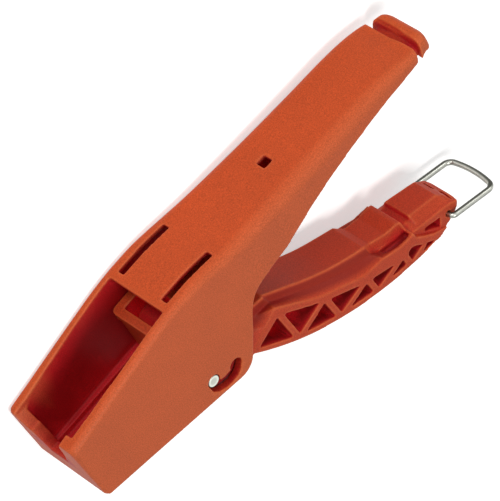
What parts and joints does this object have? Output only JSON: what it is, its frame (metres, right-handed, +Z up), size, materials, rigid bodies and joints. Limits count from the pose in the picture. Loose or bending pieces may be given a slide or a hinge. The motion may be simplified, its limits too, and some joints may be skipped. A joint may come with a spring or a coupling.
{
  "type": "hand clamp",
  "caption": "Lever-operated hand clamp: a moulded housing with a windowed jaw channel, a truss lever on a two-position pin, a sliding jaw and a wire locking bail.",
  "frame": {"origin": "centre of the tool's outline, on the far side face that it lies on", "axes": "+X towards the end with the jaw channel, +Y towards the lever, +Z up across the tool's width"},
  "size_m": [0.2344, 0.1286, 0.041],
  "materials": {
    "shell_plastic": "fine moulded texture, orange red",
    "lever_plastic": "fine moulded texture, orange red",
    "pin_steel": "ground",
    "spring_steel": "drawn wire",
    "wire_steel": "bright plated wire"
  },
  "bodies": {
    "frame": {"housing": "shell_plastic", "return_spring": "spring_steel"},
    "lever": {"lever": "lever_plastic", "pivot_pin": "pin_steel"},
    "jaw": {"sliding_jaw": "lever_plastic"},
    "bail": {"bail": "wire_steel"}
  },
  "joints": [
    {"name": "lever_swing", "type": "hinge", "parent": "frame", "child": "lever", "pos_m": [0.0498, -0.0101, 0.0205], "axis": [0, 0, 1], "range_deg": [0, 29.96], "stiffness_Nm_per_rad": 0.26, "springref_deg": -25.21},
    {"name": "jaw_slide", "type": "slide", "parent": "frame", "child": "jaw", "axis": [1, 0, 0], "range_m": [0, 0.012], "deforming": ["return_spring"]},
    {"name": "bail_swing", "type": "hinge", "parent": "lever", "child": "bail", "pos_m": [-0.0862, 0.0539, 0.0205], "axis": [0, 0, 1], "range_deg": [-45, 59.5]}
  ],
  "couplings": [
    {"joint": "jaw_slide", "follows": "lever_swing", "m_per_rad": 0.0226}
  ]
}
